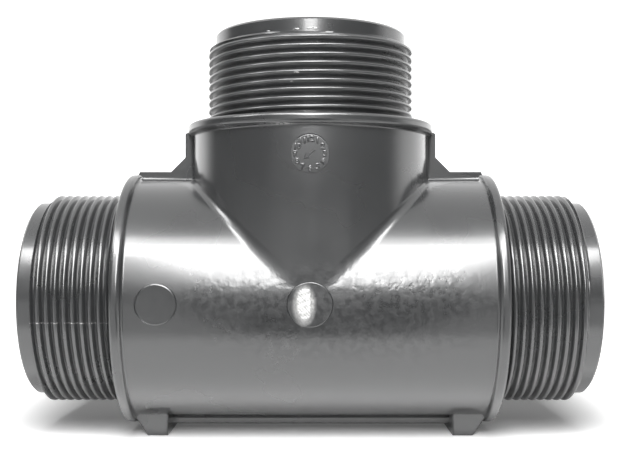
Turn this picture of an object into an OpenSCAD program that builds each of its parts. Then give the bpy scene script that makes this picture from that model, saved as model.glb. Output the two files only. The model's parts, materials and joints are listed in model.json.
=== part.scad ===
// Equal tee with three male threaded ends, moulded in one piece.
// The run lies along X and the branch stands up along Z. Two short feet under the run
// carry it, and the origin is on the surface that they stand on, below the branch.

/* [Run] */
// Length of the run from end face to end face
run_length = 156; // [150:1:200]
// Outside diameter of the run between its flanges
run_body_d = 68; // [66:0.5:70]
// Bore through the run
run_bore_d = 48; // [40:0.5:50]

/* [Branch] */
// Height of the branch's end face above the axis of the run
branch_height = 76; // [74:1:110]
// How much smaller the branch is than the run, in diameter
branch_step = 0.3; // [0.1:0.1:3]
// Bore down the branch, a little smaller than the run's so that the two cross cleanly
branch_bore_d = 46; // [40:0.5:47]

/* [Threads] */
// Major diameter of the male threads
thread_d = 59.4; // [58:0.1:62]
// Distance from one crest to the next
thread_pitch = 2.309; // [1.8:0.001:3]
// Height of a crest above its root
thread_depth = 1.48; // [0.8:0.01:1.6]
// Angle between the two flanks of a groove
thread_angle = 55; // [50:1:60]
// Length of the threaded stretch on each end
thread_length = 22.3; // [16:0.1:26]
// Distance from the flange to the first crest
thread_start = 1.85; // [1.4:0.05:3]

/* [Pilots] */
// Diameter of the plain ring beyond each thread
pilot_d = 55.2; // [53:0.1:56.4]
// Length of the plain ring
pilot_length = 3.8; // [2:0.1:8]
// Chamfer on the outer edge of the plain ring
pilot_chamfer = 0.6; // [0.2:0.1:1.2]
// Chamfer at the mouth of each bore
mouth_chamfer = 1; // [0.2:0.1:1.5]

/* [Flanges] */
// Diameter of the two flanges on the run
flange_d = 71.5; // [71:0.1:76]
// Diameter of the collar on the branch
collar_d = 71.2; // [71:0.1:76]
// Width of the flanges and of the collar
flange_width = 3; // [2.6:0.1:5]
// Rounding of their rims
rim_r = 1.1; // [0.3:0.1:1.2]
// Fillet between a flange and the body behind it
flange_root_r = 1; // [0.4:0.1:1.5]

/* [Ribs] */
// Thickness of the ribs in the tee's middle plane
rib_width = 3.5; // [2:0.1:6]
// How far the ribs stand out of the body
rib_height = 2.6; // [2:0.1:4]
// Fillet along the root of each rib
rib_root_r = 1.2; // [0.4:0.1:1.6]
// How far a rib's outer edge laps over its flange
rib_lap = 0.8; // [0.2:0.1:1]
// Length of the slope at a rib's end
rib_slope = 1.2; // [0.5:0.1:1.4]
// Leg of the triangular gusset in each upper corner
gusset_leg = 4.2; // [2:0.1:7]

/* [Feet] */
// Height of the run's axis above the surface that the tee stands on
axis_height = 38.5; // [38:0.1:44]
// Size of a foot across the run
foot_width = 20; // [14:1:26]
// Length of a foot's sole along the run
foot_sole = 5.7; // [4:0.1:9]
// How much longer a foot is where it joins the run
foot_flare = 3; // [1:0.1:6]

/* [Marks] */
// Radius of the plain insert mark at the left of the run
mark_r = 5.4; // [4:0.1:6]
// Distance of that mark from the inner face of the left flange
mark_inboard = 9; // [7:0.1:14]
// Radius of the date dial on the branch
dial_r = 5.1; // [4:0.1:6]
// Distance of the dial's centre below the collar
dial_below = 7.9; // [7:0.1:10]
// Radius of the disc around the gate
gate_r = 5.9; // [5:0.1:8]
// Depth of the marks' flat faces below the front of the body
mark_inset = 0.25; // [0.1:0.05:0.4]
// Diameter of the gate's stub
stub_d = 2.4; // [1.5:0.1:4]
// Height of the gate's stub above its disc
stub_height = 0.5; // [0.2:0.1:1]

/* [Hidden] */
$fn = 128;

run_r = run_body_d / 2;
branch_r = (run_body_d - branch_step) / 2;
crest_r = thread_d / 2;
root_r = crest_r - thread_depth;
pilot_r = pilot_d / 2;

end_length = thread_length + pilot_length;
run_flange = run_length / 2 - end_length - flange_width;
collar_base = branch_height - end_length - flange_width;

flank = thread_depth * tan(thread_angle / 2);
crest_flat = thread_pitch / 2 - flank;
crests = floor((thread_length - thread_start - crest_flat / 2 - flank) / thread_pitch) + 1;

run_rib = run_r + rib_height;
branch_rib = branch_r + rib_height;
foot_inner = run_flange - foot_flare - foot_sole;
foot_top = sqrt(run_r * run_r - foot_width * foot_width / 4) - 1.5;

cut = 1; // how far a cutting solid runs past the face that it leaves

// Half section of the thread, radius along x and distance from the flange along y.
// Each crest is a short flat at the major diameter between two sloping flanks.
module thread_section() {
    ridge = [
        for (i = [0 : crests - 1])
            let (mid = thread_start + i * thread_pitch)
            each [
                [root_r, mid - crest_flat / 2 - flank],
                [crest_r, mid - crest_flat / 2],
                [crest_r, mid + crest_flat / 2],
                [root_r, mid + crest_flat / 2 + flank]
            ]
    ];
    polygon(concat([[0, -cut], [root_r, -cut]], ridge, [[root_r, thread_length], [0, thread_length]]));
}

// Half section of the plain ring, with its outer edge chamfered
module pilot_section() {
    polygon([
        [0, -cut],
        [pilot_r, -cut],
        [pilot_r, pilot_length - pilot_chamfer],
        [pilot_r - pilot_chamfer, pilot_length],
        [0, pilot_length]
    ]);
}

// Half section of a flange with a rounded rim and a fillet down to the body
module flange_section(outer_r, body_r) {
    square([outer_r - rim_r, flange_width]);
    translate([0, rim_r])
        square([outer_r, flange_width - 2 * rim_r]);
    for (y = [rim_r, flange_width - rim_r])
        translate([outer_r - rim_r, y])
            circle(r = rim_r);
    fillet = min(flange_root_r, outer_r - rim_r - body_r);
    translate([body_r, -fillet])
        difference() {
            translate([-cut, 0])
                square([fillet + cut, fillet + cut]);
            translate([fillet, 0])
                circle(r = fillet);
        }
}

// One arm from the tee's centre up along Z: body, flange, thread and plain ring
module arm(base, body_r, outer_r) {
    rotate_extrude()
        union() {
            square([body_r, base + cut]);
            translate([0, base])
                flange_section(outer_r, body_r);
            translate([0, base + flange_width])
                thread_section();
            translate([0, base + flange_width + thread_length])
                pilot_section();
        }
}

module arms() {
    for (side = [-1, 1])
        rotate([0, side * 90, 0])
            arm(run_flange, run_r, flange_d / 2);
    arm(collar_base, branch_r, collar_d / 2);
}

// Ribs and gussets, cut as one plate in the tee's middle plane. Its inner part is
// inside the body, so only the strip beyond the two cylinders shows.
module rib_plate() {
    half = [
        [0, -run_rib],
        [run_flange + rib_lap, -run_rib],
        [run_flange + rib_lap + rib_slope, -run_r],
        [run_flange + rib_lap + rib_slope, run_r],
        [run_flange + rib_lap, run_rib],
        [branch_rib + gusset_leg, run_rib],
        [branch_rib, run_rib + gusset_leg],
        [branch_rib, collar_base + rib_lap],
        [branch_r, collar_base + rib_lap + rib_slope],
        [0, collar_base + rib_lap + rib_slope]
    ];
    rotate([90, 0, 0])
        linear_extrude(rib_width, center = true)
            for (side = [0, 1])
                mirror([side, 0])
                    polygon(half);
}

// Section of the two fillets at a rib's root, on a body of radius body_r whose rib
// points along y. Each arc is tangent to the rib's side and to the body.
module rib_fillet_section(body_r) {
    centre_x = rib_width / 2 + rib_root_r;
    centre_y = sqrt(pow(body_r + rib_root_r, 2) - centre_x * centre_x);
    foot = body_r / (body_r + rib_root_r);
    for (side = [0, 1])
        mirror([side, 0])
            difference() {
                polygon([
                    [0, centre_y - 3 * rib_root_r],
                    [centre_x * foot, centre_y - 3 * rib_root_r],
                    [centre_x * foot, centre_y * foot],
                    [rib_width / 2, centre_y],
                    [0, centre_y]
                ]);
                translate([centre_x, centre_y])
                    circle(r = rib_root_r);
            }
}

module rib_fillets() {
    for (side = [0, 1])
        mirror([0, 0, side])
            rotate([90, 0, 90])
                linear_extrude(2 * run_flange + cut, center = true)
                    rib_fillet_section(run_r);
    for (side = [-90, 90])
        rotate([0, 0, side])
            linear_extrude(collar_base + cut)
                rib_fillet_section(branch_r);
}

// A foot's inner side is upright and its outer side slopes out to the flange
module foot() {
    rotate([90, 0, 0])
        linear_extrude(foot_width, center = true)
            polygon([
                [foot_inner, -foot_top],
                [run_flange + cut, -foot_top],
                [run_flange + cut, -run_r],
                [run_flange, -run_r],
                [foot_inner + foot_sole, -axis_height],
                [foot_inner, -axis_height]
            ]);
}

module feet() {
    for (side = [0, 1])
        mirror([side, 0, 0])
            foot();
}

// Places its children on the front of a body, pointing out of it
module on_front(x, z) {
    translate([x, 0, z])
        rotate([90, 0, 0])
            children();
}

// Fills the body out to a mark's flat face
module mark_pad(r, body_r) {
    translate([0, 0, body_r - 4])
        cylinder(r = r, h = 4 - mark_inset);
}

// Clears what stands in front of a mark's flat face
module mark_clearing(r, body_r) {
    translate([0, 0, body_r - mark_inset])
        cylinder(r = r, h = mark_inset + cut);
}

module bores() {
    rotate([0, 90, 0])
        cylinder(d = run_bore_d, h = run_length + 2 * cut, center = true);
    cylinder(d = branch_bore_d, h = branch_height + cut);
    for (side = [-90, 90])
        rotate([0, side, 0])
            mouth(run_bore_d, run_length / 2);
    mouth(branch_bore_d, branch_height);
}

// Chamfer where a bore meets its end face
module mouth(bore_d, face) {
    translate([0, 0, face - mouth_chamfer])
        cylinder(d1 = bore_d, d2 = bore_d + 2 * (mouth_chamfer + cut), h = mouth_chamfer + cut);
}

module tee_body() {
    mark_x = -(run_flange - mark_inboard);
    dial_z = collar_base - dial_below;
    color("#333537")
        translate([0, 0, axis_height]) {
            difference() {
                union() {
                    arms();
                    rib_plate();
                    rib_fillets();
                    feet();
                    on_front(mark_x, 0)
                        mark_pad(mark_r, run_r);
                    on_front(0, dial_z)
                        mark_pad(dial_r, branch_r);
                    on_front(0, 0)
                        mark_pad(gate_r, run_r);
                }
                bores();
                on_front(mark_x, 0)
                    mark_clearing(mark_r, run_r);
                on_front(0, dial_z)
                    mark_clearing(dial_r, branch_r);
                on_front(0, 0)
                    mark_clearing(gate_r, run_r);
            }
            on_front(0, 0)
                translate([0, 0, run_r - 4])
                    cylinder(d = stub_d, h = 4 - mark_inset + stub_height);
        }
}

tee_body();
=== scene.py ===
"""Threaded pipe tee: the moulded black body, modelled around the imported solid.

Shapes are worked out in millimetres about the point where the axes of run and branch cross,
with X along the run, Z up the branch and -Y to the front, and are put into meshes in metres.
"""

import json
import math

import bmesh
import bpy
import numpy as np
from mathutils import Matrix, Vector


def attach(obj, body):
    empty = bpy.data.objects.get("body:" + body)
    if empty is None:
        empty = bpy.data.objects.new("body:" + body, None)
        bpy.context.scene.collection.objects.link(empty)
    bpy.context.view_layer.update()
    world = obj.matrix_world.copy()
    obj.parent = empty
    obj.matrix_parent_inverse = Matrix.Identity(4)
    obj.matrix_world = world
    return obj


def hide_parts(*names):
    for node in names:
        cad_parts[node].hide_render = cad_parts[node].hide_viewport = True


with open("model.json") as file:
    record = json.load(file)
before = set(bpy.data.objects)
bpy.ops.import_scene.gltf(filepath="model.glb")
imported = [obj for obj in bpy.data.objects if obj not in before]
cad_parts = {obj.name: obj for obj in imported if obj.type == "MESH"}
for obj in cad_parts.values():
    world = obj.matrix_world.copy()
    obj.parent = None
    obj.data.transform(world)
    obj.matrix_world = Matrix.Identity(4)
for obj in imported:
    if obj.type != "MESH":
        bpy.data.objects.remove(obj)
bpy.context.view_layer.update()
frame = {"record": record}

MM = 0.001
mounts = {m["name"]: m for m in frame["record"]["mounts"]}


def mount_mm(name):
    """A mount's point in millimetres, in the row frame."""
    return np.array(mounts[name]["pos_m"], float) / MM


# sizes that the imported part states
axis_height = mount_mm("run_bore")[2]
half_run = mount_mm("right_end")[0]
branch_height = mount_mm("branch_end")[2] - axis_height
crest_r = mounts["branch_thread"]["dims"]["r_mm"]
run_bore_r = mounts["run_bore"]["dims"]["r_mm"]
branch_bore_r = mounts["branch_bore"]["dims"]["r_mm"]

# sizes of the moulding, as in the part's source
run_r = 34.0
branch_r = 33.85
flange_r = 35.75
collar_r = 35.6
flange_width = 3.0
rim_r = 1.1
root_fillet = 0.65
pilot_r = 27.6
pilot_length = 3.8
pilot_chamfer = 0.6
mouth_chamfer = 1.0
thread_length = 22.3
thread_pitch = 2.309
thread_depth = 1.48
thread_flank = math.radians(27.5)
rib_width = 3.5
rib_height = 2.6
rib_root_r = 1.2
rib_lap = 0.8
rib_slope = 1.2
gusset_leg = 4.2
foot_width = 20.0
foot_sole = 5.7
foot_flare = 3.0
foot_tuck = 1.5
mark_r = 5.4
mark_inboard = 9.0
dial_r = 5.1
dial_below = 7.9
gate_r = 5.9
mark_inset = 0.25
mark_depth = 4.0

# sizes of what is modelled only here: the thread's arcs and its two ends, the saddle's
# fillet, bevels, and the relief of the marks
crest_arc = 0.62
root_arc = 0.2
thread_end = 0.5
neck_length = 0.75
neck_slope = 1.6
left_first_crest = 1.404
right_first_crest = 2.095
branch_first_crest = 2.119
saddle_fill = 0.5
saddle_widest = 20.0
rib_bevel = 0.25
foot_bevel = 0.4
number_size = 2.0
number_ring = 3.85
pointer_turn = math.radians(230)
scar_half_width = 3.2
scar_half_height = 5.5

end_length = thread_length + pilot_length
run_flange = half_run - end_length - flange_width
collar_base = branch_height - end_length - flange_width
run_rib = run_r + rib_height
branch_rib = branch_r + rib_height
foot_inner = run_flange - foot_flare - foot_sole
root_r = crest_r - thread_depth
crest_edge = crest_arc * math.cos(thread_flank)
root_edge = root_arc * math.cos(thread_flank)

FRONT = np.array([0.0, -1.0, 0.0])
RIGHT = np.array([1.0, 0.0, 0.0])
UP = np.array([0.0, 0.0, 1.0])

AROUND = 352  # points around the two bodies
LOWER = 156  # points around the run below the saddle
AROUND_THREAD = 160
AROUND_MARK = 96
SINK = 1.0  # how far an end or a foot reaches into its flange, and a bore past its face
TUCK = 0.5  # how far a rib's fillets reach into a flange
WELD = 2e-7  # points closer than this are one, in metres


# Meshes
def lattice(rows, cols, wrap):
    """Four-sided faces between the points of a grid that is stored row by row.
    With wrap the last column joins the first."""
    i, j = np.meshgrid(np.arange(rows - 1), np.arange(cols if wrap else cols - 1), indexing="ij")
    k = (j + 1) % cols
    corners = [i * cols + j, i * cols + k, (i + 1) * cols + k, (i + 1) * cols + j]
    return np.stack(corners, -1).reshape(-1, 4)


def solid(name, patches, polygons=()):
    """A closed solid from grid patches and flat polygons, whose shared edges are sewn.
    A patch is an array of rows x columns x 3 points and a flag for a closed ring."""
    points, faces, start = [], [], 0
    for grid, wrap in patches:
        rows, cols = grid.shape[:2]
        points.append(grid.reshape(-1, 3))
        faces += (lattice(rows, cols, wrap) + start).tolist()
        start += rows * cols
    for polygon in polygons:
        points.append(polygon)
        faces.append(list(range(start, start + len(polygon))))
        start += len(polygon)
    cloud = (np.concatenate(points) + [0, 0, axis_height]) * MM
    mesh = bpy.data.meshes.new(name)
    mesh.from_pydata(cloud.tolist(), [], faces)
    work = bmesh.new()
    work.from_mesh(mesh)
    bmesh.ops.remove_doubles(work, verts=work.verts, dist=WELD)
    bmesh.ops.dissolve_degenerate(work, edges=work.edges, dist=1e-8)
    bmesh.ops.recalc_face_normals(work, faces=work.faces)
    work.to_mesh(mesh)
    work.free()
    piece = bpy.data.objects.new(name, mesh)
    bpy.context.scene.collection.objects.link(piece)
    return piece


def combine(body, piece, operation):
    """Joins piece to body, or cuts it out of it, and takes the piece away."""
    modifier = body.modifiers.new("combine", "BOOLEAN")
    modifier.operation = operation
    modifier.solver = "MANIFOLD"
    modifier.object = piece
    ready = bpy.context.evaluated_depsgraph_get()
    result = bpy.data.meshes.new_from_object(body.evaluated_get(ready))
    body.modifiers.clear()
    old = body.data
    body.data = result
    bpy.data.meshes.remove(old)
    spent = piece.data
    bpy.data.objects.remove(piece)
    bpy.data.meshes.remove(spent)


def turned(name, outline, along, out=FRONT, count=128, centre=(0, 0, 0)):
    """A solid of revolution: each outline point is a distance along the axis and a radius.
    A point at angle a is along * distance + radius * (out cos a + side sin a), with
    side = along x out. The outline starts and ends on the axis."""
    side = np.cross(along, out)
    angle = np.linspace(0, 2 * np.pi, count, endpoint=False)
    ring = np.cos(angle)[:, None] * out + np.sin(angle)[:, None] * side
    outline = np.asarray(outline, float)
    grid = outline[:, 0, None, None] * along + outline[:, 1, None, None] * ring[None]
    return solid(name, [(grid + np.array(centre, float), True)])


def inset(outline, by):
    """Moves every side of a closed outline inwards (for an anticlockwise one) by the same step:
    each corner goes along the sum of its two sides' normals over one plus their dot product."""
    before = outline - np.roll(outline, 1, 0)
    before /= np.linalg.norm(before, axis=1)[:, None]
    after = np.roll(before, -1, 0)
    n0 = np.stack([-before[:, 1], before[:, 0]], 1)
    n1 = np.stack([-after[:, 1], after[:, 0]], 1)
    return outline + by * (n0 + n1) / (1 + (n0 * n1).sum(1))[:, None]


def prism(name, outline, first, second, normal, half, bevel):
    """A plate: the outline lies in the plane of first and second, and is carried along normal
    from -half to half, stepped in by the bevel at both faces."""
    outline = np.asarray(outline, float)
    inner = inset(outline, bevel)
    layers = [(inner, -half), (outline, bevel - half), (outline, half - bevel), (inner, half)]
    grid = np.stack([
        line[:, 0, None] * first + line[:, 1, None] * second + level * normal
        for line, level in layers
    ])
    return solid(name, [(grid, True)], [grid[0][::-1], grid[-1]])


# The body
def eased(steps):
    """Shares from 0 to 1 whose first and last step are short, so that shading stays true
    where an arc runs into a long face."""
    t = np.linspace(0, 1, steps + 1)
    return np.concatenate([[0], 0.03 + 0.94 * t, [1]])


def arc(centre, radius, start, end, steps):
    """Points on an arc in the plane of axis distance and radius, angles in degrees."""
    a = np.radians(start + (end - start) * eased(steps))
    return [(centre[0] + radius * math.cos(t), centre[1] + radius * math.sin(t)) for t in a]


def flange_outline(base, body_r, outer_r):
    """From the body, up a concave fillet, round the rim and down to the axis."""
    low = outer_r - rim_r
    return (
        arc((base - root_fillet, body_r + root_fillet), root_fillet, -90, 0, 5)[1:]
        + arc((base + rim_r, low), rim_r, 180, 90, 7)[1:]
        + arc((base + flange_width - rim_r, low), rim_r, 90, 0, 7)
        + [(base + flange_width, 0.0)]
    )


def body_skin():
    """The run and the branch with a rolled saddle fillet between them.
    A ball of radius s that touches both cylinders has its centre on
    ((rb+s) cos f, -(rb+s) sin f, sqrt((r+s)^2 - (rb+s)^2 sin^2 f)). It touches the branch at
    angle f and the run at angle t with sin t = (rb+s) sin f / (r+s), and the fillet is the
    arc about the centre between the two contacts. The two walls turn by g, with
    cos g = sin^2 f rb / r, and s is 1 / ((1 / cos(g/2) - 1) / fill + 1 / widest): the fillet
    fills their corner to about one depth all round, so that it is tight beside the ribs and
    widens towards the front and the back, but never past the widest radius."""
    f = np.linspace(-np.pi, np.pi, AROUND, endpoint=False)
    half_turn = np.arccos(np.sin(f) ** 2 * branch_r / run_r) / 2
    s = 1 / ((1 / np.cos(half_turn) - 1) / saddle_fill + 1 / saddle_widest)
    cx, cy = (branch_r + s) * np.cos(f), -(branch_r + s) * np.sin(f)
    cz = np.sqrt((run_r + s) ** 2 - cy**2)
    centre = np.stack([cx, cy, cz], 1)
    on_branch = np.stack([branch_r * np.cos(f), -branch_r * np.sin(f), cz], 1)
    on_run = np.stack([cx, run_r * cy / (run_r + s), run_r * cz / (run_r + s)], 1)
    s = s[:, None]
    a, b = (on_run - centre) / s, (on_branch - centre) / s
    gap = np.arccos(np.clip((a * b).sum(1), -1, 1))[:, None]
    k = eased(7)[:, None, None]
    fillet = centre + s * (np.sin((1 - k) * gap) * a + np.sin(k * gap) * b) / np.sin(gap)

    outline = np.array(flange_outline(collar_base, branch_r, collar_r))
    top = collar_base - root_fillet
    k = np.concatenate([[0, 0.01], np.linspace(0.1, 0.9, 7), [0.99, 1]])[:, None]
    rise = cz * (1 - k) + top * k
    ring = np.stack([np.cos(f), -np.sin(f), 0 * f], 1)
    stem = branch_r * ring[None] + rise[..., None] * UP
    collar = outline[:, 0, None, None] * UP + outline[:, 1, None, None] * ring
    patches = [(fillet, True), (np.concatenate([stem, collar]), True)]

    # one half of the run: columns from the saddle's rear over the top to its front, then
    # below from front to rear, each from where it starts out to the flange
    right = np.abs(f) <= np.pi / 2 + 1e-9
    start_x = cx[right]
    turn = np.arctan2(-cy[right], cz[right])
    below = np.linspace(turn[-1], 2 * np.pi + turn[0], LOWER + 2)[1:-1]
    turn = np.concatenate([turn, below])
    start_x = np.concatenate([start_x, 0 * below])
    start_x[np.abs(start_x) < 1e-6] = 0
    ring = np.stack([0 * turn, -np.sin(turn), np.cos(turn)], 1)
    outline = np.array(flange_outline(run_flange, run_r, flange_r))
    reach = start_x * (1 - k) + (run_flange - root_fillet) * k
    barrel = run_r * ring[None] + reach[..., None] * RIGHT
    flange = outline[:, 0, None, None] * RIGHT + outline[:, 1, None, None] * ring
    half = np.concatenate([barrel, flange])
    patches += [(half, True), (half * [-1, 1, 1], True)]
    return solid("tee_moulding", patches)


# The threads
def thread_depth_at(offset):
    """Depth below the crest of a 55 degree thread as it is moulded: a broad arc at the crest,
    a straight flank and a tighter arc at the root. An arc of radius r that ends at the flank
    is r cos 27.5 wide and r (1 - sin 27.5) deep."""
    half = thread_pitch / 2
    u = np.abs((offset + half) % thread_pitch - half)
    v = half - u
    crest = crest_arc - np.sqrt(np.maximum(crest_arc**2 - np.minimum(u, crest_edge) ** 2, 0))
    root = thread_depth - root_arc + np.sqrt(np.maximum(root_arc**2 - np.minimum(v, root_edge) ** 2, 0))
    top = crest_arc * (1 - math.sin(thread_flank))
    bottom = thread_depth - root_arc * (1 - math.sin(thread_flank))
    flank = top + (bottom - top) * np.clip((u - crest_edge) / (half - crest_edge - root_edge), 0, 1)
    return np.where(u < crest_edge, crest, np.where(v < root_edge, root, flank))


def threaded_end(name, along, base, first_crest):
    """One end from its flange outwards: a right-hand thread, then the plain ring.
    The grid's rows follow the helix, distance = row + pitch * angle / turn, held between
    the flange's face and the thread's end, and the seam's rows meet one pitch on. The
    crests fade into a neck at the flange and drop steeply to the root at the end."""
    out, side = FRONT, np.cross(along, FRONT)
    down = [0.4 * crest_edge, 0.75 * crest_edge, crest_edge, thread_pitch / 2 - root_edge]
    marks = np.array([0.0, *down, thread_pitch / 2, *(thread_pitch - u for u in reversed(down))])
    turns = np.arange(-2, int(thread_length / thread_pitch) + 3)
    rows = (first_crest + turns[:, None] * thread_pitch + marks[None]).ravel()
    angle = np.linspace(0, 2 * np.pi, AROUND_THREAD + 1)
    lead = thread_pitch * angle[None] / (2 * np.pi)
    y = np.clip(rows[:, None] + lead, 0, thread_length - thread_end)
    r = crest_r - thread_depth_at(y - first_crest - lead)
    r = np.minimum(r, root_r + np.maximum(0, y - neck_length) * neck_slope)
    ring = np.cos(angle)[:, None] * out + np.sin(angle)[:, None] * side
    screw = y[..., None] * along + r[..., None] * ring[None]
    sunk = np.array([(-SINK, 0.0), (-SINK, root_r), (0.0, root_r)])
    end = np.array([
        (thread_length, root_r), (thread_length, pilot_r), (end_length - pilot_chamfer, pilot_r),
        (end_length, pilot_r - pilot_chamfer), (end_length, 0.0),
    ])
    inner, outer = (p[:, 0, None, None] * along + p[:, 1, None, None] * ring for p in (sunk, end))
    grid = np.concatenate([inner, screw, outer]) + (base + flange_width) * along
    return solid(name, [(grid, False)])


# Ribs and feet
def rib_plate():
    """Ribs and corner gussets, one plate in the middle plane, mirrored about the branch."""
    tip = run_flange + rib_lap
    half = [
        (0, -run_rib), (tip, -run_rib), (tip + rib_slope, -run_r), (tip + rib_slope, run_r),
        (tip, run_rib), (branch_rib + gusset_leg, run_rib), (branch_rib, run_rib + gusset_leg),
        (branch_rib, collar_base + rib_lap), (branch_r, collar_base + rib_lap + rib_slope),
        (0, collar_base + rib_lap + rib_slope),
    ]
    outline = half[1:-1] + [(-x, z) for x, z in reversed(half[1:-1])]
    return prism("rib_plate", outline, RIGHT, UP, -FRONT, rib_width / 2, rib_bevel)


def rib_fillets(name, body_r, along, out, start, end):
    """The two fillets at a rib's root: an arc tangent to the rib's side and to the body,
    centred at distance body_r + fillet from the axis, carried along the axis."""
    f = rib_root_r
    cx = rib_width / 2 + f
    cy = math.sqrt((body_r + f) ** 2 - cx * cx)
    foot = body_r / (body_r + f)
    low = math.atan2(cy * foot - cy, cx * foot - cx) + 2 * math.pi
    a = low + (math.pi - low) * eased(7)
    curve = np.stack([cx + f * np.cos(a), cy + f * np.sin(a)], 1)
    right = np.concatenate([[[cx * foot, cy - 3 * f]], curve])
    outline = np.concatenate([right, right[::-1] * [-1, 1]])
    side = np.cross(along, out)
    middle, half = (start + end) / 2, (end - start) / 2
    section = outline[:, 0, None] * side + outline[:, 1, None] * out
    grid = np.stack([section + (middle + s * half) * along for s in (-1, 1)])
    return solid(name, [(grid, True)], [grid[0][::-1], grid[1]])


def foot(name, side):
    """One foot: upright on its inner side, sloping out to the flange on its outer side."""
    top = math.sqrt(run_r**2 - foot_width**2 / 4) - foot_tuck
    half = np.array([
        (foot_inner, -axis_height), (foot_inner + foot_sole, -axis_height), (run_flange, -run_r),
        (run_flange + SINK, -run_r), (run_flange + SINK, -top), (foot_inner, -top),
    ])
    outline = half if side > 0 else (half * [-1, 1])[::-1]
    return prism(name, outline, RIGHT, UP, -FRONT, foot_width / 2, foot_bevel)


# Marks on the front
def front_mark(name, x, z, radius, body_r, ease):
    """The flat round end of a mould insert: a disc whose face lies a little behind the front
    of the body and whose edge is eased, and the air around and in front of it, whose wall
    rolls over into the body. Each outline point is a distance from the body's axis and a
    radius about the mark's own."""
    face = body_r - mark_inset
    pad = turned(name, [
        (body_r - mark_depth, 0), (body_r - mark_depth, radius), (face - 0.48 * ease, radius),
        (face - 0.3 * ease, radius - 0.2 * ease), (face - 0.1 * ease, radius - 0.6 * ease),
        (face, radius - ease), (face, radius - ease - 0.04), (face, 0),
    ], FRONT, UP, AROUND_MARK, (x, 0, z))
    air = turned(name + "_air", [
        (face - 0.5, 0), (face - 0.5, radius - 0.4), (face - 0.1, radius + 0.06),
        (body_r - 0.14, radius + 0.09), (body_r - 0.03, radius + 0.16), (body_r + 1, radius + 0.9),
        (body_r + 1, 0),
    ], FRONT, UP, AROUND_MARK, (x, 0, z))
    return pad, air


def dial_numbers(x, z, level):
    """The numbers 1 to 12 around the date dial, raised a little with rounded edges. Number h
    stands upright at the sine and cosine of 30 h degrees on their ring."""
    pieces = []
    for hour in range(1, 13):
        curve = bpy.data.curves.new("number", "FONT")
        curve.body = str(hour)
        curve.size = number_size
        curve.extrude = 0.12
        curve.bevel_depth = 0.19
        curve.bevel_resolution = 2
        curve.offset = -0.02
        curve.resolution_u = 2
        curve.align_x, curve.align_y = "CENTER", "CENTER"
        a = math.radians(30 * hour)
        piece = bpy.data.objects.new("number", curve)
        bpy.context.scene.collection.objects.link(piece)
        across, up = number_ring * math.sin(a), number_ring * math.cos(a)
        place = Matrix.Translation((x + across, -level, z + up))
        piece.matrix_world = place @ Matrix.Rotation(math.pi / 2, 4, "X")
        pieces.append(piece)
    bpy.context.view_layer.update()
    work = bmesh.new()
    for piece in pieces:
        part = bpy.data.meshes.new_from_object(piece)
        part.transform(piece.matrix_world)
        work.from_mesh(part)
        bpy.data.meshes.remove(part)
        curve = piece.data
        bpy.data.objects.remove(piece)
        bpy.data.curves.remove(curve)
    bmesh.ops.scale(work, vec=(MM, MM, MM), verts=work.verts)
    bmesh.ops.translate(work, vec=(0, 0, axis_height * MM), verts=work.verts)
    bmesh.ops.remove_doubles(work, verts=work.verts, dist=1e-6)
    bmesh.ops.recalc_face_normals(work, faces=work.faces)
    mesh = bpy.data.meshes.new("dial_numbers")
    work.to_mesh(mesh)
    work.free()
    numbers = bpy.data.objects.new("dial_numbers", mesh)
    bpy.context.scene.collection.objects.link(numbers)
    return numbers


def pointer(x, z, level):
    """The dial's arrow: a shaft and a head with sloping sides, turned to the month."""
    right = [(0.3, -1.7), (0.3, 0.7), (0.85, 0.7)]
    outline = np.array([(-0.3, -1.7), *right, (0, 2.2), (-0.85, 0.7), (-0.3, 0.7)])
    a = pointer_turn
    first = np.array([math.cos(a), 0, -math.sin(a)])
    second = np.array([math.sin(a), 0, math.cos(a)])
    sloped = inset(outline, 0.2)
    grid = np.stack([
        line[:, 0, None] * first + line[:, 1, None] * second + depth * FRONT + [x, 0, z]
        for line, depth in ((outline, level - 0.5), (outline, level + 0.03), (sloped, level + 0.26))
    ])
    return solid("pointer", [(grid, True)], [grid[0][::-1], grid[-1]])


def gate_scar(x, z, level):
    """What is left of the gate: an oval mound on the disc, with a wavy outline. It rises from
    its edge as r^2 (3 - 2 r), leans back towards the top, and its right side is a rough step
    lower."""
    root, height, lean, drop = 2.5, 0.72, 0.13, 0.3
    t = np.linspace(0, 2 * np.pi, 120, endpoint=False)
    rough = 1 + 0.03 * np.sin(3 * t + 0.6) + 0.025 * np.sin(7 * t + 2.1)
    across, up = scar_half_width * np.cos(t) * rough, scar_half_height * np.sin(t) * rough
    ring = np.stack([across, 0 * t, up], 1)
    rows = [ring * 0 + root * -FRONT, ring + root * -FRONT]
    for scale in np.linspace(1, 0, 26):
        p = ring * scale
        step = np.clip((p[:, 0] - 1.3) / 0.5, 0, 1)
        grain = 0.06 * np.sin(5.3 * p[:, 2] + 3 * p[:, 0]) * np.sin(4.1 * p[:, 0] + 1.7 * p[:, 2])
        r = min(1.0, (1 - scale) / 0.4)
        rise = r * r * (3 - 2 * r) * (height - lean * p[:, 2] + grain - drop * step)
        rows.append(p + (rise - 0.04)[:, None] * FRONT)
    return solid("gate_scar", [(np.stack(rows) + [x, 0, z] + level * FRONT, True)])


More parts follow.
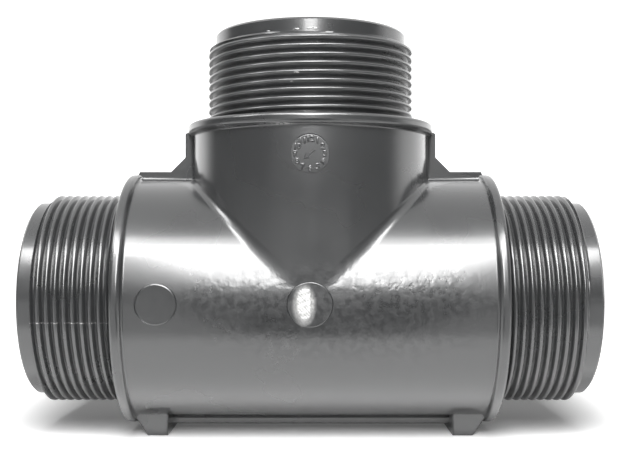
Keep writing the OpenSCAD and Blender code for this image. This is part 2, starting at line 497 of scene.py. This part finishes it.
def add_marks(tee):
    """The plain insert mark, the date dial and the gate."""
    mark_x = -(run_flange - mark_inboard)
    dial_z = collar_base - dial_below
    plain = front_mark("plain_mark", mark_x, 0, mark_r, run_r, ease=0.4)
    dial = front_mark("date_dial", 0, dial_z, dial_r, branch_r, ease=0.15)
    gate = front_mark("gate_disc", 0, 0, gate_r, run_r, ease=0.3)
    for pad, air in (plain, dial, gate):
        combine(tee, air, "DIFFERENCE")
        combine(tee, pad, "UNION")
    combine(tee, dial_numbers(0, dial_z, branch_r - mark_inset), "UNION")
    combine(tee, pointer(0, dial_z, branch_r - mark_inset), "UNION")
    combine(tee, gate_scar(-1.2, -0.2, run_r - mark_inset), "UNION")


# The tee as a whole
def add_ribs_and_feet(tee):
    """The rib plate, the fillets along the ribs' roots and the two feet."""
    combine(tee, rib_plate(), "UNION")
    reach = run_flange + TUCK
    for out in (UP, -UP):
        combine(tee, rib_fillets("run_fillets", run_r, RIGHT, out, -reach, reach), "UNION")
    reach = collar_base + TUCK
    for side in (-1, 1):
        fillets = rib_fillets("branch_fillets", branch_r, UP, side * RIGHT, 0, reach)
        combine(tee, fillets, "UNION")
        combine(tee, foot("foot", side), "UNION")


def add_ends(tee):
    """The three threaded ends, each with its first crest where the front shows it."""
    for name, along, base, first_crest in (
        ("left_end", -RIGHT, run_flange, left_first_crest),
        ("right_end", RIGHT, run_flange, right_first_crest),
        ("branch_end", UP, collar_base, branch_first_crest),
    ):
        combine(tee, threaded_end(name, along, base, first_crest), "UNION")


def cut_bores(tee):
    """The bore through the run and the one down the branch, with chamfered mouths. A mouth's
    cone goes on past the end face at the same 45 degrees."""
    c = mouth_chamfer
    reach, wide = half_run + SINK, run_bore_r + c + SINK
    combine(tee, turned("run_bore", [
        (-reach, 0), (-reach, wide), (-half_run + c, run_bore_r),
        (half_run - c, run_bore_r), (reach, wide), (reach, 0),
    ], RIGHT), "DIFFERENCE")
    reach, wide = branch_height + SINK, branch_bore_r + c + SINK
    combine(tee, turned("branch_bore", [
        (0, 0), (0, branch_bore_r), (branch_height - c, branch_bore_r), (reach, wide), (reach, 0),
    ], UP), "DIFFERENCE")


def build_tee():
    """The whole moulding, as one closed mesh."""
    tee = body_skin()
    add_ribs_and_feet(tee)
    add_marks(tee)
    add_ends(tee)
    cut_bores(tee)
    return tee


def merge_slivers(mesh):
    """Takes out the faces thinner than a fifth of a micrometre that cutting and joining
    leave."""
    work = bmesh.new()
    work.from_mesh(mesh)
    bmesh.ops.remove_doubles(work, verts=work.verts, dist=WELD)
    bmesh.ops.dissolve_degenerate(work, edges=work.edges, dist=WELD)
    work.to_mesh(mesh)
    work.free()


def true_normals(mesh):
    """Faces whose corners all lie on one of the two bodies are shaded with the exact normal
    of that cylinder, which points from its axis to the corner."""
    slack = 0.004  # millimetres
    place = np.empty(len(mesh.vertices) * 3)
    mesh.vertices.foreach_get("co", place)
    place = place.reshape(-1, 3) / MM - [0, 0, axis_height]
    corner = np.empty(len(mesh.loops), int)
    mesh.loops.foreach_get("vertex_index", corner)
    first = np.empty(len(mesh.polygons), int)
    mesh.polygons.foreach_get("loop_start", first)
    sides = np.diff(np.append(first, len(corner)))
    normals = np.empty(len(mesh.loops) * 3)
    mesh.corner_normals.foreach_get("vector", normals)
    normals = normals.reshape(-1, 3)
    for radius, across in ((run_r, [0, 1, 1]), (branch_r, [1, 1, 0])):
        away = place[corner] * across
        length = np.linalg.norm(away, axis=1)
        whole = np.logical_and.reduceat(np.abs(length - radius) < slack, first)
        on_body = np.repeat(whole, sides)
        normals[on_body] = away[on_body] / length[on_body, None]
    mesh.normals_split_custom_set(normals.tolist())


tee = build_tee()
merge_slivers(tee.data)
tee.data.shade_smooth()
tee.data.set_sharp_from_angle(angle=math.radians(34))
true_normals(tee.data)


# Material
class Nodes:
    """Short ways to add nodes to a shader tree."""

    def __init__(self, tree):
        self.tree = tree

    def add(self, kind, **settings):
        """A new node of a kind, with its settings."""
        node = self.tree.nodes.new(kind)
        for key, value in settings.items():
            setattr(node, key, value)
        return node

    def join(self, value, socket):
        """Sets an input to a number or colour, or links an output to it."""
        if isinstance(value, (int, float, tuple)):
            socket.default_value = value
        else:
            self.tree.links.new(value, socket)

    def math(self, operation, a, b=0.0, clamp=False):
        """What an operation gives for one or two numbers or outputs."""
        node = self.add("ShaderNodeMath", operation=operation, use_clamp=clamp)
        self.join(a, node.inputs[0])
        self.join(b, node.inputs[1])
        return node.outputs[0]

    def ramp(self, value, low, high, to_low=0.0, to_high=1.0):
        """A smooth step from low to high."""
        node = self.add("ShaderNodeMapRange", interpolation_type="SMOOTHSTEP")
        for socket, number in zip(node.inputs[1:5], (low, high, to_low, to_high)):
            self.join(number, socket)
        self.join(value, node.inputs[0])
        return node.outputs[0]

    def mix(self, share, a, b):
        """a where the share is 0 and b where it is 1, both numbers or both colours."""
        colour = isinstance(a, tuple)
        node = self.add("ShaderNodeMix", data_type="RGBA" if colour else "FLOAT")
        self.join(share, node.inputs[0])
        self.join(a, node.inputs[6 if colour else 2])
        self.join(b, node.inputs[7 if colour else 3])
        return node.outputs[2 if colour else 0]

    def noise(self, vector, scale, detail, roughness=0.5):
        """Noise from 0 to 1 with grains of about 1 / scale metres."""
        node = self.add("ShaderNodeTexNoise")
        self.join(vector, node.inputs["Vector"])
        for key, value in (("Scale", scale), ("Detail", detail), ("Roughness", roughness)):
            node.inputs[key].default_value = value
        return node.outputs["Fac"]


def moulded_black():
    """Black polypropylene as it leaves a polished mould."""
    material = bpy.data.materials.new("moulded_black")
    material.use_nodes = True
    n = Nodes(material.node_tree)
    shader = material.node_tree.nodes["Principled BSDF"]
    shader.inputs["IOR"].default_value = 1.5
    shader.inputs["Specular IOR Level"].default_value = 0.7
    shader.inputs["Coat IOR"].default_value = 1.5
    shader.inputs["Coat Roughness"].default_value = 0.15
    place = n.add("ShaderNodeTexCoord").outputs["Object"]

    def nearness(point_mm, spread_mm, inner, outer):
        """1 inside an ellipsoid about a point, fading to 0 between two multiples of its size."""
        shift = n.add("ShaderNodeVectorMath", operation="SUBTRACT")
        n.join(place, shift.inputs[0])
        shift.inputs[1].default_value = tuple(v * MM for v in point_mm)
        scale = n.add("ShaderNodeVectorMath", operation="MULTIPLY")
        n.join(shift.outputs[0], scale.inputs[0])
        scale.inputs[1].default_value = tuple(1 / (v * MM) for v in spread_mm)
        length = n.add("ShaderNodeVectorMath", operation="LENGTH")
        n.join(scale.outputs[0], length.inputs[0])
        return n.ramp(length.outputs["Value"], inner, outer, 1.0, 0.0)

    # the stretch that the flow marks reach, the torn gate, and noise for broad patches of
    # polish, for flow marks, for slow waves and for grit
    around_gate = nearness((8, -run_r, axis_height - 1.5), (56, 30, 15), 0.4, 1.2)
    torn = nearness((-1.5, -run_r, axis_height - 0.1), (3.2, 6, 5.7), 0.4, 1.1)
    cloud = n.noise(place, 38, 3)
    splay = n.noise(place, 560, 2)
    wave = n.noise(place, 75, 2)
    grit = n.noise(place, 1100, 3, 0.7)

    # small nicks: crumbs of flash at the branch's ring and crests, and the parting line, and a
    #     painted highlight along the collar's top edge, each by its middle above the floor and its half
    #     sizes in millimetres
    nicks_and_painted_highlight = 0.0
    for point, spread in (
        ((0.7, -pilot_r, 111.3), (1.5, 1.5, 0.35)),
        ((-3.8, -pilot_r, 111.2), (1.0, 1.5, 0.25)),
        ((-11.2, -pilot_r + 2.4, 111.0), (0.8, 1.5, 0.25)),
        ((-3.6, -crest_r, 99.3), (1.0, 1.0, 0.35)),
        ((-4.9, -crest_r, 96.9), (0.7, 1.0, 0.3)),
        # painted highlight: the dotted bright line along the collar's top edge
        ((-8.5, -collar_r + 1.2, 85.3), (5.0, 2.0, 0.3)),
        ((-64.0, -crest_r, 33.3), (15.0, 3.0, 0.2)),
    ):
        nicks_and_painted_highlight = n.math("MAXIMUM", nicks_and_painted_highlight, nearness(point, spread, 0.5, 1.1))
    nicks_and_painted_highlight = n.math("MULTIPLY", nicks_and_painted_highlight, n.ramp(grit, 0.4, 0.6))

    # the torn gate is painted light grey: partly the stress-whitening of torn polypropylene, partly a
    # painted highlight on the scar; the nicks add flash crumbs and the collar's painted highlight
    whitening_and_painted_highlight = n.math("MULTIPLY", torn, n.ramp(grit, 0.3, 0.62, 0.6, 1.0))
    whitening_and_painted_highlight = n.math("MAXIMUM", whitening_and_painted_highlight, n.math("MULTIPLY", nicks_and_painted_highlight, 0.7))
    black, white = (0.032, 0.033, 0.034, 1), (0.62, 0.62, 0.61, 1)
    n.join(n.mix(whitening_and_painted_highlight, black, white), shader.inputs["Base Color"])
    blotch = n.math("MULTIPLY", around_gate, n.ramp(splay, 0.38, 0.62))
    rough = n.math("ADD", n.ramp(cloud, 0.3, 0.7, 0.24, 0.34), n.math("MULTIPLY", blotch, 0.14))
    n.join(n.mix(torn, rough, 0.5), shader.inputs["Roughness"])
    dulled = n.math("SUBTRACT", 1.0, n.math("MULTIPLY", blotch, 0.35))
    n.join(n.mix(torn, dulled, 0.3), shader.inputs["Coat Weight"])

    height = n.math("MULTIPLY", wave, n.ramp(around_gate, 0.0, 1.0, 0.2, 0.9))
    for texture, share in (
        (splay, n.ramp(around_gate, 0.0, 1.0, 0.02, 1.15)),
        (torn, n.math("MULTIPLY", grit, 0.35)),
        (nicks_and_painted_highlight, 0.8),
    ):
        height = n.math("ADD", height, n.math("MULTIPLY", texture, share))
    bump = n.add("ShaderNodeBump")
    bump.inputs["Strength"].default_value = 1.0
    bump.inputs["Distance"].default_value = 0.06 * MM
    n.join(height, bump.inputs["Height"])
    n.join(bump.outputs[0], shader.inputs["Normal"])
    n.join(bump.outputs[0], shader.inputs["Coat Normal"])
    return material


tee.data.materials.clear()
tee.data.materials.append(moulded_black())
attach(tee, "root")
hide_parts("tee_body")


# Stage
def stage_floor():
    """A plain white floor under the feet. The camera sees it glow and fade into the white
    surroundings as |x / half width|^4 + |(y - middle) / half depth|^4 goes from 0.4 to 2.2; the weak
    glow inside that oval is painted shade around the tee. The tee's gloss sees a painted reflection:
    a bright strip a little in front of the tee, then floor painted dark straight ahead and glowing
    bright to the sides, by the bearing -x / y. Lengths are in metres."""
    # dark is the colour of the painted dark reflection that the gloss sees on the floor ahead of the
    # tee
    white, dark = (0.97, 0.97, 0.97, 1), (0.05, 0.05, 0.05, 1)
    half_width, middle, half_depth = 0.092, 0.05, 0.062
    mesh = bpy.data.meshes.new("floor")
    mesh.from_pydata([(-3, -3, 0), (3, -3, 0), (3, 3, 0), (-3, 3, 0)], [], [(0, 1, 2, 3)])
    floor = bpy.data.objects.new("floor", mesh)
    bpy.context.scene.collection.objects.link(floor)
    material = bpy.data.materials.new("white_floor")
    material.use_nodes = True
    n = Nodes(material.node_tree)
    shader = material.node_tree.nodes["Principled BSDF"]
    shader.inputs["Roughness"].default_value = 0.9
    shader.inputs["Specular IOR Level"].default_value = 0.0
    place = n.add("ShaderNodeTexCoord").outputs["Object"]
    split = n.add("ShaderNodeSeparateXYZ")
    n.join(place, split.inputs[0])
    x, y = split.outputs[:2]
    path = n.add("ShaderNodeLightPath").outputs
    # painted reflection: for glossy rays the floor ahead of the tee is painted dark
    painted_dark_reflection = n.math("MULTIPLY", path["Is Glossy Ray"], n.ramp(y, -0.065, -0.09))
    n.join(n.mix(painted_dark_reflection, white, dark), shader.inputs["Base Color"])
    # painted shade: the camera's glow is weak in an oval about the tee, so the floor stays darker there
    across = n.math("MULTIPLY", x, 1 / half_width)
    along = n.math("MULTIPLY", n.math("SUBTRACT", y, middle), 1 / half_depth)
    across = n.math("POWER", n.math("ABSOLUTE", across), 4.0)
    along = n.math("POWER", n.math("ABSOLUTE", along), 4.0)
    away = n.ramp(n.math("ADD", across, along), 0.4, 2.2, 0.06, 1.0)
    glow = n.math("MULTIPLY", away, path["Is Camera Ray"])
    # painted reflection: for glossy rays a strip of floor just in front of the tee glows bright
    painted_bright_strip = n.math("MULTIPLY", path["Is Glossy Ray"], n.ramp(y, -0.008, -0.022))
    glow = n.math("ADD", glow, n.math("SUBTRACT", painted_bright_strip, painted_dark_reflection, clamp=True))
    # painted reflection: for glossy rays the dark floor ahead glows bright to the left and right
    bearing = n.math("DIVIDE", x, n.math("MULTIPLY", y, -1.0))
    left, right = n.ramp(bearing, -0.18, -0.34, 0.04, 0.9), n.ramp(bearing, 0.3, 0.45, 0.0, 0.8)
    glow = n.math("ADD", glow, n.math("MULTIPLY", painted_dark_reflection, n.math("ADD", left, right)))
    shader.inputs["Emission Color"].default_value = (1, 1, 1, 1)
    n.join(glow, shader.inputs["Emission Strength"])
    mesh.materials.append(material)


def panel(name, centre, size, facing, radiance):
    """A rectangular area light with its centre at a point in metres, turned to face another
    point. Its power is radiance * pi * area."""
    data = bpy.data.lights.new(name, "AREA")
    data.shape = "RECTANGLE"
    data.size, data.size_y = size
    data.energy = radiance * math.pi * size[0] * size[1]
    lamp = bpy.data.objects.new(name, data)
    bpy.context.scene.collection.objects.link(lamp)
    away = Vector(centre) - Vector(facing)
    turn = away.to_track_quat("Z", "Y").to_matrix().to_4x4()
    lamp.matrix_world = Matrix.Translation(centre) @ turn
    lamp.visible_camera = False
    return lamp


def surroundings():
    """White all round for the camera and a plain level for the diffuse light. The tee's gloss
    sees a bright room above, behind and to the right, and a dark one low in front and to the
    left, with a dim window straight ahead."""
    darkest, diffuse_level = 0.1, 0.14
    world = bpy.data.worlds.new("surroundings")
    bpy.context.scene.world = world
    world.use_nodes = True
    n = Nodes(world.node_tree)
    back = world.node_tree.nodes["Background"]
    split = n.add("ShaderNodeSeparateXYZ")
    n.join(n.add("ShaderNodeTexCoord").outputs["Generated"], split.inputs[0])
    x, y, z = split.outputs
    above = n.ramp(z, 0.3, 0.6)
    rear = n.math("ADD", n.math("MULTIPLY", x, 0.22), n.math("MULTIPLY", y, 0.975))
    behind = n.math("MULTIPLY", n.ramp(rear, 0.0, 0.45), n.ramp(z, 0.1, 0.35, 1.6, 1.0))

    def ahead(azimuth, inner, outer):
        """1 within an angle of a direction ahead, fading to 0 at a wider one, in degrees."""
        a = math.radians(azimuth)
        across, along = n.math("MULTIPLY", x, math.sin(a)), n.math("MULTIPLY", y, -math.cos(a))
        near, far = math.cos(math.radians(inner)), math.cos(math.radians(outer))
        return n.ramp(n.math("ADD", across, along), far, near)

    window = n.math("MULTIPLY", ahead(-1, 14, 27), n.ramp(z, 0.12, 0.25))
    level = n.math("ADD", darkest, n.math("MULTIPLY", window, 0.2))
    level = n.math("ADD", level, n.math("MULTIPLY", ahead(-24, 10, 18), 0.2))
    right = n.math("MULTIPLY", ahead(25, 9, 15), n.ramp(z, 0.08, -0.02))
    level = n.math("ADD", level, n.math("MULTIPLY", right, 0.9))
    level = n.math("MAXIMUM", level, n.math("MAXIMUM", above, behind))
    path = n.add("ShaderNodeLightPath").outputs
    level = n.mix(path["Is Diffuse Ray"], level, diffuse_level)
    n.join(n.math("MAXIMUM", level, path["Is Camera Ray"]), back.inputs["Strength"])
    back.inputs["Color"].default_value = (1, 1, 1, 1)


def lamps():
    """A key above the camera for the diffuse light, and six panels facing down that only the
    gloss sees. A panel's middle, to the right and ahead, and its size are multiples of its
    height over a level near the tee's mid height, so that one number scales them all."""
    key = panel("key", (-0.02, -0.6, 0.5), (0.24, 0.5), (0, 0, 0.03), 18.4)
    key.visible_glossy = False
    height, level = 0.33, 0.05
    for name, middle, size, radiance in (
        ("near_panel", (0.0, 1.0), (0.76, 0.36), 15.0),
        ("near_soft_panel", (0.0, 0.72), (0.76, 0.2), 5.0),
        ("near_left_panel", (-0.5, 0.88), (0.24, 0.6), 15.0),
        ("near_right_panel", (0.5, 0.88), (0.24, 0.6), 15.0),
        ("far_panel", (0.03, 2.7), (0.86, 3.0), 15.0),
        ("left_panel", (-1.15, 0.55), (0.8, 0.5), 8.0),
    ):
        x, y = middle[0] * height, -middle[1] * height
        span = (size[0] * height, size[1] * height)
        lamp = panel(name, (x, y, level + height), span, (x, y, 0), radiance)
        lamp.visible_diffuse = False


stage_floor()
lamps()
surroundings()


# Camera
def place_camera():
    """The camera as it was fitted to the photo: focal length and picture width in pixels, its
    place in millimetres about the crossing of the axes, pitch and yaw in radians."""
    focal, width, sensor = 966.217, 625, 36
    x, y, z = 1.0232, -283.1008, 16.3554
    pitch, yaw = 0.0076, 0.0015
    data = bpy.data.cameras.new("camera")
    data.sensor_width = sensor
    data.lens = focal / width * sensor
    camera = bpy.data.objects.new("camera", data)
    bpy.context.scene.collection.objects.link(camera)
    level = math.cos(pitch)
    forward = Vector((-math.sin(yaw) * level, math.cos(yaw) * level, math.sin(pitch)))
    turn = forward.to_track_quat("-Z", "Y").to_matrix().to_4x4()
    camera.matrix_world = Matrix.Translation(Vector((x, y, z + axis_height)) * MM) @ turn
    bpy.context.scene.camera = camera


place_camera()

bpy.context.scene.view_settings.view_transform = "Standard"
